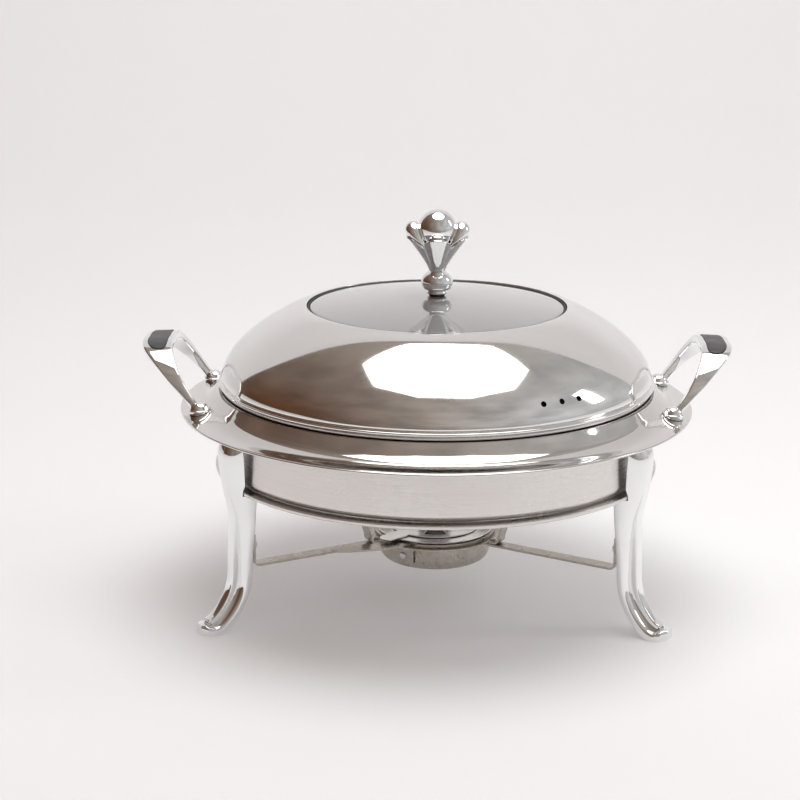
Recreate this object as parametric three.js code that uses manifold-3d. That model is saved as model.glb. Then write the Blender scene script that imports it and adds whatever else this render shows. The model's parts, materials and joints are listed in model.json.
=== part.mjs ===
// Round buffet chafer: a domed lid with a glass window over a food pan, a water pan with two
// arched handles, and a three-legged stand that carries a fuel burner.
// Millimetres. +Z is up, +X points at the right-hand handle and -Y at the front.
// The origin lies on the table, under the middle of the pans.
import * as THREE from 'three';
import { mergeVertices } from 'three/addons/utils/BufferGeometryUtils.js';
import Module from 'manifold-3d';

const wasm = await Module();
wasm.setup();

// Driving dimensions.
const GAP = 0.3; // clearance between touching pieces
const SHEET = 1.2; // thickness of the pressed steel
const ROUND = 48; // sides of the large turned pieces
const SMALL_ROUND = 24; // sides of the small turned pieces
const FASTENER_ROUND = 8; // sides of screws and rivets
const LEG_ANGLES = { front_right: -30, front_left: 210, rear: 90 }; // degrees about +Z

const RING = { inner: 147, outer: 156.4, low: 97.3, high: 100.3, lip: 1.2 };
const PAN = { wall: 152.4, base: RING.high + GAP, corner: 6, shoulder: 154.9 };
const FLANGE = { inner: 155, outer: 180, edge: 140.5, sheet: 1.3 };
const FOOD = { low: 108, wall: 146, taper: 5, rim: 151.4, rimLow: 155.2, rimHigh: 157.8 };
const LID = { rim: 153.4, low: 158.2, bead: 2.2, foot: 151.5, window: 91.1, crest: 211.6 };
const GLASS = { radius: 88.9, thickness: 4, edge: 206.6, rise: 7.6, hole: 4.5 };
const VENT = { angles: [-62, -56.5, -51], radius: 2, height: 174 };
const KNOB = { low: 219.6, waist: 235.4, neck: 5.8, lip: 255.5, ball: 13.5, ballHeight: 265.2 };
const HANDLE = {
  foot: 169, spread: 15.8, lean: 38.5, crestTilt: 2, rise: 47, halfSpan: 46, topHalf: 24,
};
const GRIP = { half: 6.9, ends: [0.33, 0.67], seat: 1.6, face: 3.2 };
const HOLDER = { inner: 42.6, outer: 47.5, low: 44.7, high: 46.2, rivet: 47.6, tab: 52, finger: 60 };
const STRAP = { width: 10, thickness: 1.6, inside: 143.8, low: 42.8, top: 66, end: 46, bend: 5 };
const CUP = { wall: 39.4, base: 27, corner: 8, rim: 43.4, rimLow: 46.5, rimHigh: 48.2 };
const LEG_SCREW_HEIGHT = 58;

const STEEL = { color: 0xd4d3d1, roughness: 0.08, metalness: 1 };
const BRUSHED = { color: 0xc2bdb9, roughness: 0.38, metalness: 1 };
const CHROME = { color: 0xdfe0e2, roughness: 0.04, metalness: 1 };
const STAINED = { color: 0x8d857a, roughness: 0.3, metalness: 1 };
const BLACK = { color: 0x17171a, roughness: 0.45, metalness: 0 };
const RUBBER = { color: 0x0c0c0d, roughness: 0.8, metalness: 0 };
const GLASS_LOOK = { color: 0xaebfc2, roughness: 0.03, metalness: 0, transparent: true, opacity: 0.35 };
const PAD = { color: 0xd9d2c0, roughness: 0.95, metalness: 0 };

const radians = THREE.MathUtils.degToRad;
const model = new THREE.Group();

// --- Geometry helpers ---------------------------------------------------------------------

// Leaves only positions, joins equal vertices and drops triangles that have no area.
function welded(geometry) {
  const bare = geometry.clone();
  bare.deleteAttribute('normal');
  bare.deleteAttribute('uv');
  const merged = mergeVertices(bare, 1e-4);
  const index = merged.index.array;
  const kept = [];
  for (let i = 0; i < index.length; i += 3) {
    const [a, b, c] = [index[i], index[i + 1], index[i + 2]];
    if (a !== b && b !== c && c !== a) kept.push(a, b, c);
  }
  merged.setIndex(kept);
  return merged;
}

function toManifold(geometry) {
  const clean = welded(geometry);
  const vertProperties = new Float32Array(clean.attributes.position.array);
  const triVerts = new Uint32Array(clean.index.array);
  return new wasm.Manifold(new wasm.Mesh({ numProp: 3, vertProperties, triVerts }));
}

function toGeometry(manifold) {
  const mesh = manifold.getMesh();
  const geometry = new THREE.BufferGeometry();
  geometry.setAttribute('position', new THREE.BufferAttribute(mesh.vertProperties, 3));
  geometry.setIndex(new THREE.BufferAttribute(mesh.triVerts, 1));
  return geometry;
}

function joined(...geometries) {
  return toGeometry(geometries.map(toManifold).reduce((sum, next) => sum.add(next)));
}

function cut(geometry, ...cutters) {
  const tools = cutters.map(toManifold);
  return toGeometry(tools.reduce((rest, tool) => rest.subtract(tool), toManifold(geometry)));
}

// Revolves [radius, height] pairs, listed anticlockwise, about +Z. A profile that leaves the axis
// and comes back to it is closed by the axis; any other profile closes on itself.
function turned(profile, sides = ROUND) {
  const points = profile.map(([radius, height]) => new THREE.Vector2(radius, height));
  const onAxis = points[0].x === 0 && points[points.length - 1].x === 0;
  if (!onAxis) points.push(points[0].clone());
  return welded(new THREE.LatheGeometry(points, sides).rotateX(Math.PI / 2));
}

function rod(radius, low, high, sides = FASTENER_ROUND) {
  return turned([[0, low], [radius, low], [radius, high], [0, high]], sides);
}

// Points on a circular arc in a profile, from one angle to another in degrees.
function arc(centreRadius, centreHeight, radius, from, to, steps) {
  const points = [];
  for (let i = 0; i <= steps; i += 1) {
    const angle = radians(from + ((to - from) * i) / steps);
    points.push([centreRadius + radius * Math.cos(angle), centreHeight + radius * Math.sin(angle)]);
  }
  return points;
}

// Joins a row of equal outlines, each a list of Vector3, into one closed body.
// The flat ends are filled from the 2-D outline of the same points.
function loft(rows, endOutline) {
  const count = rows[0].length;
  const positions = rows.flat().flatMap((point) => [point.x, point.y, point.z]);
  const index = [];
  for (let row = 0; row + 1 < rows.length; row += 1) {
    for (let i = 0; i < count; i += 1) {
      const next = (i + 1) % count;
      const [a, b] = [row * count + i, row * count + next];
      index.push(a, b, b + count, a, b + count, a + count);
    }
  }
  const last = (rows.length - 1) * count;
  for (const [a, b, c] of THREE.ShapeUtils.triangulateShape(endOutline, [])) {
    index.push(a, c, b, last + a, last + b, last + c);
  }
  const geometry = new THREE.BufferGeometry();
  geometry.setAttribute('position', new THREE.Float32BufferAttribute(positions, 3));
  geometry.setIndex(index);
  return outwards(geometry);
}

// Turns every face over when the body's signed volume is negative.
function outwards(geometry) {
  const position = geometry.attributes.position;
  const index = geometry.index.array;
  const [a, b, c] = [new THREE.Vector3(), new THREE.Vector3(), new THREE.Vector3()];
  let volume = 0;
  for (let i = 0; i < index.length; i += 3) {
    a.fromBufferAttribute(position, index[i]);
    b.fromBufferAttribute(position, index[i + 1]);
    c.fromBufferAttribute(position, index[i + 2]);
    volume += a.dot(b.cross(c));
  }
  if (volume > 0) return geometry;
  const flipped = [];
  for (let i = 0; i < index.length; i += 3) flipped.push(index[i], index[i + 2], index[i + 1]);
  geometry.setIndex(flipped);
  return geometry;
}

function extruded(outline, depth) {
  const shape = new THREE.Shape(outline.map(([x, y]) => new THREE.Vector2(x, y)));
  return welded(new THREE.ExtrudeGeometry(shape, { depth, bevelEnabled: false, curveSegments: 8 }));
}

function add(name, geometry, look, parent = model) {
  const mesh = new THREE.Mesh(geometry, new THREE.MeshStandardMaterial(look));
  mesh.name = name;
  parent.add(mesh);
  return mesh;
}

// A group turned about +Z, so that what is built along +X points along the given angle.
function turnedGroup(degrees) {
  const group = new THREE.Group();
  group.rotation.z = radians(degrees);
  model.add(group);
  return group;
}

// --- Stand --------------------------------------------------------------------------------

function standRing() {
  const { inner, outer, low, high, lip } = RING;
  return turned([[inner, low], [outer - lip, low], [outer, low + lip / 2], [outer, high - lip / 2],
    [outer - lip, high], [inner, high]]);
}

// Control stations of a leg from knee to toe: [radius, height] on its back, [thickness, half-width]
// of its body, [height, half-width] of the tongue that stands on its front, and how square its
// front is: 2 for an ellipse, more for a flatter face with tighter corners.
const LEG_STATIONS = [
  { back: [147.5, 146.5], body: [8, 9], tongue: [0.05, 3.4], square: 2.2 },
  { back: [146.8, 140], body: [15.5, 13.5], tongue: [0.05, 4.4], square: 2.3 },
  { back: [146.2, 124], body: [21, 14.5], tongue: [0.05, 4.6], square: 2.4 },
  { back: [146, 104], body: [19, 13.8], tongue: [0.05, 4.6], square: 2.6 },
  { back: [146.6, 80], body: [11.6, 12], tongue: [2.2, 4.6], square: 3 },
  { back: [148.6, 55], body: [8.2, 11.2], tongue: [4.6, 4.4], square: 3.6 },
  { back: [150.4, 31], body: [7.2, 11], tongue: [5.2, 4.3], square: 4 },
  { back: [157, 15.5], body: [6.8, 11], tongue: [5.1, 4.3], square: 4.4 },
  { back: [167, 3.6], body: [6.6, 11], tongue: [4.9, 4.3], square: 5 },
  { back: [174, -0.8], body: [7.4, 10.9], tongue: [4.3, 4.2], square: 5 },
  { back: [176.4, -1.6], body: [8.2, 10.6], tongue: [3.4, 3.4], square: 5 },
  { back: [177.2, -1.8], body: [8.4, 10.4], tongue: [0.05, 3], square: 5 },
  { back: [181.5, -2], body: [9, 8.8], tongue: [0.05, 2.8], square: 5 },
  { back: [185.2, -2], body: [9, 4.6], tongue: [0.05, 1.6], square: 5 },
];

// A leg's outline across its length: a rounded body with the tongue standing on its middle.
function legSection([thickness, half], [tongueHeight, tongueHalf], square) {
  const steps = 4;
  const last = Math.acos((tongueHalf / half) ** (square / 2));
  const side = [];
  for (let i = 0; i <= steps; i += 1) {
    const turn = (last * i) / steps;
    side.push([half * Math.cos(turn) ** (2 / square), thickness * Math.sin(turn) ** (2 / square)]);
  }
  side.push([tongueHalf, side[steps][1] + tongueHeight]);
  const mirrored = side.map(([across, out]) => [-across, out]).reverse();
  return [...side, ...mirrored].map(([across, out]) => new THREE.Vector2(across, out));
}

function blend(curves, t) {
  return curves.map((curve) => curve.getPoint(t));
}

function leg() {
  const rows = 2 * (LEG_STATIONS.length - 1);
  const stationCurve = (pick) => (
    new THREE.CatmullRomCurve3(LEG_STATIONS.map(pick), false, 'centripetal')
  );
  const backs = stationCurve(({ back: [radius, height] }) => new THREE.Vector3(radius, 0, height));
  const bodies = stationCurve(({ body, square }) => new THREE.Vector3(...body, square));
  const tongues = stationCurve(({ tongue }) => new THREE.Vector3(...tongue, 0));
  const across = new THREE.Vector3(0, 1, 0);
  const sections = [];
  for (let i = 0; i <= rows; i += 1) {
    const t = i / rows;
    const [back, wide, raised] = blend([backs, bodies, tongues], t);
    const out = new THREE.Vector3().crossVectors(across, backs.getTangent(t)).normalize().negate();
    const outline = legSection([wide.x, wide.y], [raised.x, raised.y], wide.z);
    sections.push({
      outline,
      points: outline.map((p) => back.clone().addScaledVector(across, p.x).addScaledVector(out, p.y)),
    });
  }
  const body = loft(sections.map((section) => section.points), sections[0].outline);
  const ringSlot = turned([[0, RING.low - GAP], [RING.outer + GAP, RING.low - GAP],
    [RING.outer + GAP, RING.high + GAP], [PAN.wall + 3, PAN.base + 4], [PAN.wall + 5.5, 150], [0, 150]]);
  const table = new THREE.BoxGeometry(120, 60, 20).translate(170, 0, -10);
  const screwHole = rod(2.3, 0, 10).rotateY(Math.PI / 2).translate(STRAP.inside, 0, LEG_SCREW_HEIGHT);
  return cut(body, ringSlot, table, screwHole);
}

// A flat strap that hangs behind the leg, turns inwards and runs in under the burner.
function strap() {
  const { width, thickness, inside, low, top, end, bend } = STRAP;
  const outside = inside + thickness;
  const outline = [
    [end, low], ...arc(outside - bend, low + bend, bend, -90, 0, 6), [outside, top], [inside, top],
    ...arc(outside - bend, low + bend, bend - thickness, 0, -90, 6), [end, low + thickness],
  ];
  const band = extruded(outline, width).rotateX(Math.PI / 2).translate(0, width / 2, 0);
  const screwHole = rod(2.3, -4, 4).rotateY(Math.PI / 2).translate(inside, 0, LEG_SCREW_HEIGHT);
  const rivetHole = rod(1.8, low - 5, low + 5).translate(HOLDER.rivet, 0, 0);
  return cut(band, screwHole, rivetHole);
}

// The round plate that the burner hangs in, with a sprung finger at each strap.
function burnerHolder() {
  const { inner, outer, low, high, tab, finger } = HOLDER;
  const thickness = high - low;
  const plate = turned([[inner, low], [outer, low], [outer, high], [inner, high]], SMALL_ROUND * 1.5);
  const pieces = [plate];
  const holes = [];
  for (const degrees of Object.values(LEG_ANGLES)) {
    const bend = 2.6;
    const outline = [
      [outer - 2, low], ...arc(tab - 1, high + bend, bend + thickness, -90, 10, 4), [tab + 6.4, finger],
      [tab + 5, finger], ...arc(tab - 1, high + bend, bend, 10, -90, 4), [outer - 2, high],
    ];
    const tongue = extruded(outline, STRAP.width).rotateX(Math.PI / 2).translate(0, STRAP.width / 2, 0);
    pieces.push(tongue.rotateZ(radians(degrees)));
    const hole = rod(1.8, low - 1, high + thickness).translate(HOLDER.rivet, 0, 0);
    holes.push(hole.rotateZ(radians(degrees)));
  }
  return cut(joined(...pieces), ...holes);
}

function rivet(headRadius, shankRadius, low, high) {
  const head = 1;
  return turned([[0, low - head], [headRadius * 0.7, low - head], [headRadius, low], [shankRadius, low],
    [shankRadius, high], [headRadius, high], [headRadius * 0.7, high + head], [0, high + head]],
  FASTENER_ROUND);
}

// A domed-head screw whose head is at the bottom and whose shank points along +Z.
function screw(headRadius, shankRadius, length) {
  return turned([[0, -2.2], [headRadius * 0.6, -2], [headRadius, -0.6], [headRadius, 0],
    [shankRadius, 0], [shankRadius, length], [0, length]], FASTENER_ROUND);
}

function buildStand() {
  add('stand_ring', standRing(), BRUSHED);
  add('burner_holder', burnerHolder(), STAINED);
  for (const [place, degrees] of Object.entries(LEG_ANGLES)) {
    const group = turnedGroup(degrees);
    add(`leg_${place}`, leg(), CHROME, group);
    add(`burner_strap_${place}`, strap(), STAINED, group);
    const strapScrew = screw(3.6, 2, 9).rotateY(Math.PI / 2);
    strapScrew.translate(STRAP.inside - GAP, 0, LEG_SCREW_HEIGHT);
    add(`strap_screw_${place}`, strapScrew, BRUSHED, group);
    const holderRivet = rivet(2.2, 1.5, STRAP.low - GAP, HOLDER.high + GAP);
    add(`holder_rivet_${place}`, holderRivet.translate(HOLDER.rivet, 0, 0), STAINED, group);
  }
}

// --- Water pan and handles ----------------------------------------------------------------

// The flange's upper face as [radius, height] pairs from its shoulder to its hem.
const FLANGE_FACE = [[FLANGE.inner, PAN.shoulder], [158.6, 150.6], [163, 146.2], [169, 143.6],
  [FLANGE.outer, FLANGE.edge + SHEET]];

// Height of the flange's upper face at a radius.
function flangeTop(radius) {
  let i = 1;
  while (i < FLANGE_FACE.length - 1 && radius > FLANGE_FACE[i][0]) i += 1;
  const [[innerRadius, innerHeight], [outerRadius, outerHeight]] = [FLANGE_FACE[i - 1], FLANGE_FACE[i]];
  const share = (radius - innerRadius) / (outerRadius - innerRadius);
  return THREE.MathUtils.lerp(innerHeight, outerHeight, share);
}

function waterPan() {
  const { wall, base, corner, shoulder } = PAN;
  const inside = wall - SHEET;
  const under = FLANGE_FACE.slice(1, -1).map(([radius, height]) => [radius - 0.4, height - FLANGE.sheet]);
  const profile = [
    [0, base], ...arc(wall - corner, base + corner, corner, -90, 0, 2), [wall, shoulder - 4],
    [FLANGE.inner - 1.2, shoulder - 2], ...under, [FLANGE.outer - 1.4, FLANGE.edge + 0.3],
    [FLANGE.outer - 0.4, FLANGE.edge], [FLANGE.outer, FLANGE.edge + 0.5], ...FLANGE_FACE.slice().reverse(),
    [inside + 1.6, shoulder + 0.1], [inside, shoulder - 1.6],
    ...arc(wall - corner, base + corner, corner - SHEET, 0, -90, 2), [0, base + SHEET],
  ];
  const holes = [];
  for (const side of [0, 180]) {
    for (const offset of [-HANDLE.spread, HANDLE.spread]) {
      const hole = rod(2.3, FLANGE.edge - 10, shoulder + 5).translate(HANDLE.foot, 0, 0);
      holes.push(hole.rotateZ(radians(side + offset)));
    }
  }
  return cut(turned(profile), ...holes);
}

// Centre line of the handle's arch in its leaning plane: x runs along +Y and y runs up the slope.
function archCurve() {
  const { halfSpan, topHalf, rise } = HANDLE;
  const half = [[halfSpan, 0], [halfSpan - 0.8, 0.2], [halfSpan - 3.5, 0.5], [topHalf + 9.5, 0.78],
    [topHalf, 0.94], [topHalf - 11, 0.995]].map(([along, share]) => [along, share * rise]);
  const near = half.map(([along, up]) => new THREE.Vector3(-along, up, 0));
  const far = half.map(([along, up]) => new THREE.Vector3(along, up, 0)).reverse();
  return new THREE.CatmullRomCurve3([...near, new THREE.Vector3(0, rise, 0), ...far], false, 'centripetal');
}

// Where the arch springs from, inside the feet.
const ARCH_ORIGIN = new THREE.Vector3(
  HANDLE.foot * Math.cos(radians(HANDLE.spread)) + 2.8, 0, flangeTop(HANDLE.foot) + 4.4,
);

// A band that follows the arch on the +X side between two shares of its length. The arch leans
// outwards and its crest lies flatter. The band spans the given offsets from the centre line, and
// widthAt gives its half-width at a share of its own length.
function archBand({ from, to, steps, low, high, widthAt }) {
  const curve = archCurve();
  const [lean, tilt] = [radians(HANDLE.lean), radians(HANDLE.crestTilt)];
  const along = new THREE.Vector3(0, 1, 0);
  const upSlope = new THREE.Vector3(Math.sin(lean), 0, Math.cos(lean));
  const broad = new THREE.Vector3(-Math.cos(tilt), 0, Math.sin(tilt));
  const offCrest = new THREE.Vector3(Math.sin(tilt), 0, Math.cos(tilt));
  const rows = [];
  let outline = [];
  for (let i = 0; i <= steps; i += 1) {
    const share = THREE.MathUtils.lerp(from, to, i / steps);
    const point = curve.getPointAt(share);
    const tangent = curve.getTangentAt(share);
    const width = widthAt(i / steps, point.y / HANDLE.rise);
    const place = ARCH_ORIGIN.clone().addScaledVector(along, point.x).addScaledVector(upSlope, point.y);
    const normal = along.clone().multiplyScalar(-tangent.y).addScaledVector(offCrest, tangent.x);
    outline = [[-width, low], [width, low], [width, high], [-width, high]]
      .map(([a, b]) => new THREE.Vector2(a, b));
    rows.push(outline.map((p) => place.clone().addScaledVector(broad, p.x).addScaledVector(normal, p.y)));
  }
  return loft(rows, outline);
}

// Half-width of the cast arch: narrow at the feet and broad along the crest.
function archWidth(_, height) {
  return THREE.MathUtils.lerp(3.2, 10.8, Math.max(0, height) ** 1.8);
}

// Half-width of the grip, rounded off towards both ends.
function gripWidth(extra) {
  const fullness = (share) => Math.sqrt(Math.max(0, 1 - Math.abs(2 * share - 1) ** 5));
  return (share) => 1.5 + extra + (GRIP.half - 1.5) * fullness(share);
}

// The round boss at each end of a handle: a collar with a dome on it.
function handleFoot() {
  const height = flangeTop(HANDLE.foot);
  const radius = 7.4;
  return turned([[0, height - 5], [radius - 0.6, height - 5], [radius, height - 3], [radius, height + 2.2],
    [radius - 1, height + 3], [radius - 1.2, height + 4.6], [radius - 3, height + 6.8],
    [0, height + 8]], 16);
}

// Whatever lies under the flange's upper face, as a body to cut the feet with.
function underFlange() {
  const clearance = GAP + 0.1;
  const face = FLANGE_FACE.map(([radius, height]) => [radius, height + clearance]).reverse();
  const beyond = FLANGE.outer + 20;
  return turned([[0, 100], [beyond, 100], [beyond, FLANGE.edge], ...face, [0, PAN.shoulder + clearance]]);
}

function buildHandles() {
  const spreads = [-HANDLE.spread, HANDLE.spread];
  const footTop = flangeTop(HANDLE.foot);
  const feet = spreads.map((degrees) => (
    handleFoot().translate(HANDLE.foot, 0, 0).rotateZ(radians(degrees))
  ));
  const threads = spreads.map((degrees) => (
    rod(2.3, FLANGE.edge - 10, footTop + 4).translate(HANDLE.foot, 0, 0).rotateZ(radians(degrees))
  ));
  const [from, to] = GRIP.ends;
  const arch = archBand({ from: 0, to: 1, steps: 28, low: -2.8, high: 2.8, widthAt: archWidth });
  const slack = 0.006;
  const recess = archBand({
    from: from - slack, to: to + slack, steps: 16, low: GRIP.seat, high: 8, widthAt: gripWidth(GAP),
  });
  const casting = cut(joined(arch, ...feet), underFlange(), recess, ...threads);
  const grip = archBand({
    from, to, steps: 16, low: GRIP.seat + GAP, high: GRIP.face, widthAt: gripWidth(0),
  });
  const screwLow = flangeTop(HANDLE.foot + 4.5) - 1.5 * SHEET - GAP;
  for (const [side, degrees] of [['right', 0], ['left', 180]]) {
    const group = turnedGroup(degrees);
    add(`handle_${side}`, casting.clone(), CHROME, group);
    add(`handle_grip_${side}`, grip.clone(), BLACK, group);
    const ends = side === 'right' ? ['front', 'rear'] : ['rear', 'front'];
    ends.forEach((end, i) => {
      const handleScrew = screw(4, 2, footTop + 3.6 - screwLow).translate(HANDLE.foot, 0, screwLow);
      add(`handle_screw_${side}_${end}`, handleScrew.rotateZ(radians(spreads[i])), BRUSHED, group);
    });
  }
}

function buildWaterPan() {
  add('water_pan', waterPan(), BRUSHED);
  buildHandles();
}

// --- Food pan -----------------------------------------------------------------------------

function foodPan() {
  const { low, wall, taper, rim, rimLow, rimHigh } = FOOD;
  const sheet = 1;
  const corner = 8;
  const floor = wall - taper;
  return turned([
    [0, low], ...arc(floor - corner, low + corner, corner, -90, 0, 2), [wall, rimLow],
    [rim, rimLow], [rim, rimHigh - 0.6], [rim - 0.6, rimHigh], [rim - 1.8, rimHigh],
    [rim - 2.4, rimLow + sheet], [wall - sheet, rimLow + sheet],
    ...arc(floor - corner, low + corner, corner - sheet, 0, -90, 2), [0, low + sheet],
  ]);
}

// --- Lid ----------------------------------------------------------------------------------

// The dome's outer line: upright at the rim and level at the window.
function domeCurve() {
  return new THREE.CubicBezierCurve(
    new THREE.Vector2(LID.foot, LID.low + LID.bead + 1.6),
    new THREE.Vector2(LID.foot - 0.6, LID.low + 27),
    new THREE.Vector2(LID.window + 11, LID.crest),
    new THREE.Vector2(LID.window, LID.crest),
  );
}

function lidDome() {
  const steps = 6;
  const curve = domeCurve();
  const outer = curve.getPoints(steps).map((p) => [p.x, p.y]);
  const inner = curve.getPoints(steps).map((p, i) => {
    const tangent = curve.getTangent(i / steps);
    return [p.x - tangent.y, p.y + tangent.x];
  }).map(([radius, height]) => [radius, height]).reverse();
  const ledge = GLASS.edge - 0.9;
  const profile = [
    [LID.rim - 2.2, LID.low], [LID.rim - 0.6, LID.low], [LID.rim, LID.low + 0.6],
    [LID.rim, LID.low + LID.bead - 0.6], [LID.rim - 0.6, LID.low + LID.bead],
    [LID.foot - 0.7, LID.low + LID.bead + 0.3],
    ...outer, [LID.window, ledge], [LID.window - 6, ledge], [LID.window - 6, ledge - 1],
    [LID.window + 1, ledge - 1], ...inner.slice(1, -1), [LID.foot - 1.6, LID.low + 1],
  ];
  const vents = VENT.angles.map((degrees) => (
    rod(VENT.radius, -20, 20, 10).rotateY(Math.PI / 2 - radians(28))
      .translate(146, 0, VENT.height).rotateZ(radians(degrees))
  ));
  return cut(turned(profile), ...vents);
}

function windowGasket() {
  const outside = LID.window - GAP;
  const inside = GLASS.radius + GAP;
  const low = GLASS.edge - 0.6;
  return turned([[LID.window - 5, low], [outside, low], [outside, LID.crest - 0.9], [inside, LID.crest - 0.9],
    [inside, low + 0.3], [LID.window - 5, low + 0.3]]);
}

// Height of the window's upper face at a radius.
function glassTop(radius) {
  return GLASS.edge + GLASS.thickness + GLASS.rise * (1 - (radius / GLASS.radius) ** 2);
}

function windowGlass() {
  const steps = 2;
  const step = (GLASS.radius - GLASS.hole) / steps;
  const radii = Array.from({ length: steps + 1 }, (_, i) => GLASS.hole + step * i);
  const under = radii.map((radius) => [radius, glassTop(radius) - GLASS.thickness]);
  const over = radii.map((radius) => [radius, glassTop(radius)]).reverse();
  return turned([...under, ...over]);
}

// Radius and height of the crown's lip, which rises into four lobes.
function lipAt(angle) {
  const lobe = Math.abs(Math.cos(2 * angle)) ** 0.7;
  return { radius: 12 + 10 * lobe, height: KNOB.lip - 4.2 + 8.4 * lobe };
}

// The flared cup of the crown with its four-lobed lip, closed over the top.
function crownCup() {
  const around = 32;
  const levels = [[0, 0], [0.225, 0.3], [0.62, 0.68], [0.88, 0.9], [1, 1]];
  const rows = [];
  for (const [outward, upward] of levels) {
    const row = [];
    for (let i = 0; i < around; i += 1) {
      const angle = (2 * Math.PI * i) / around;
      const lip = lipAt(angle);
      const radius = THREE.MathUtils.lerp(KNOB.neck, lip.radius, outward);
      const height = THREE.MathUtils.lerp(KNOB.waist + GAP, lip.height, upward);
      row.push(new THREE.Vector3(radius * Math.cos(angle), radius * Math.sin(angle), height));
    }
    rows.push(row);
  }
  const inside = rows[rows.length - 1].map((point, i) => {
    const angle = (2 * Math.PI * i) / around;
    return new THREE.Vector3(9 * Math.cos(angle), 9 * Math.sin(angle), KNOB.lip - 1.5);
  });
  rows.push(inside);
  const outline = rows[0].map((point) => new THREE.Vector2(point.x, point.y));
  return loft(rows, outline);
}

// A crescent that lies on one side lobe: fullest in the middle and pointed at both ends.
function crownPetal(direction) {
  const steps = 10;
  const around = 8;
  const rows = [];
  let outline = [];
  for (let i = 0; i <= steps; i += 1) {
    const t = i / steps;
    const angle = direction + radians(-42 + 84 * t);
    const full = Math.sin(Math.PI * t) ** 0.8;
    const centre = { radius: 12.2 + 4.8 * full, height: KNOB.lip - 0.7 + 9.8 * full };
    const size = 0.8 + 5 * full;
    outline = [];
    for (let k = 0; k < around; k += 1) {
      const turn = (2 * Math.PI * k) / around;
      outline.push(new THREE.Vector2(size * Math.cos(turn), size * Math.sin(turn)));
    }
    rows.push(outline.map((p) => new THREE.Vector3(
      (centre.radius + p.x) * Math.cos(angle),
      (centre.radius + p.x) * Math.sin(angle),
      centre.height + p.y)));
  }
  return loft(rows, outline);
}

function knobCrown() {
  const ball = new THREE.SphereGeometry(KNOB.ball, 16, 10).rotateX(Math.PI / 2)
    .translate(0, 0, KNOB.ballHeight);
  return joined(crownCup(), ball, crownPetal(0), crownPetal(Math.PI));
}

// The ball-shaped neck, a little flattened, with a seam under its middle and a blind hole for the screw.
function knobNeck() {
  const { low, waist, neck } = KNOB;
  const hole = 2.8;
  const centre = 228;
  const flattening = 0.75;
  const upper = arc(0, 0, 11.1, -8, 62, 5).map(([radius, height]) => [radius, centre + height * flattening]);
  return turned([
    [hole, low], [7, low], [7.2, low + 1.2], [6.6, low + 2.2], [9.4, low + 3.4],
    [10.5, low + 5.2], [10.9, low + 5.8], ...upper, [neck, waist], [0, waist],
    [0, low + 14], [hole, low + 13.8],
  ], 18);
}

function washer(inner, outer, low, high) {
  return turned([[inner, low], [outer, low], [outer, high], [inner, high]], SMALL_ROUND);
}

function buildLid() {
  add('lid_dome', lidDome(), STEEL);
  add('window_gasket', windowGasket(), RUBBER);
  add('window_glass', windowGlass(), GLASS_LOOK);
  const over = glassTop(GLASS.hole);
  const under = glassTop(8) - GLASS.thickness;
  add('knob_washer_upper', washer(3.2, 5.6, over + GAP, KNOB.low - GAP), RUBBER);
  add('knob_washer_lower', washer(3.2, 8, under - 1.8, under - GAP), BRUSHED);
  add('knob_screw', screw(5.2, 2.4, 18).translate(0, 0, under - 2.1), BRUSHED);
  add('knob_neck', knobNeck(), CHROME);
  add('knob_crown', knobCrown(), CHROME);
}

// --- Burner -------------------------------------------------------------------------------

const TAB_ANGLE = 237; // direction of the cup's handle bracket, in degrees about +Z
const TAB_RIVET_HEIGHT = 37.5;
const LEVER_ANGLE = 226; // direction of the regulator's lever at rest

function burnerCup() {
  const { wall, base, corner, rim, rimLow, rimHigh } = CUP;
  const sheet = 1;
  const profile = [
    [0, base], ...arc(wall - corner, base + corner, corner, -90, 0, 3), [wall, rimLow], [rim - 0.5, rimLow],
    [rim, rimLow + 0.5], [rim, rimHigh - 0.5], [rim - 0.5, rimHigh], [wall - sheet, rimHigh],
    ...arc(wall - corner, base + corner, corner - sheet, 0, -90, 3), [0, base + sheet],
  ];
  const block = new THREE.BoxGeometry(8, 24, 4).translate(wall + 3, 0, rimLow + 1)
    .rotateZ(radians(TAB_ANGLE));
  const notch = cut(block, rod(wall + 0.02, rimLow - 5, rimHigh + 5, SMALL_ROUND * 1.5));
  const rivetHole = rod(1.9, -4, 4).rotateY(Math.PI / 2).translate(wall, 0, TAB_RIVET_HEIGHT)
    .rotateZ(radians(TAB_ANGLE));
  return cut(turned(profile, SMALL_ROUND * 1.5), notch, rivetHole);
}

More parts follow.
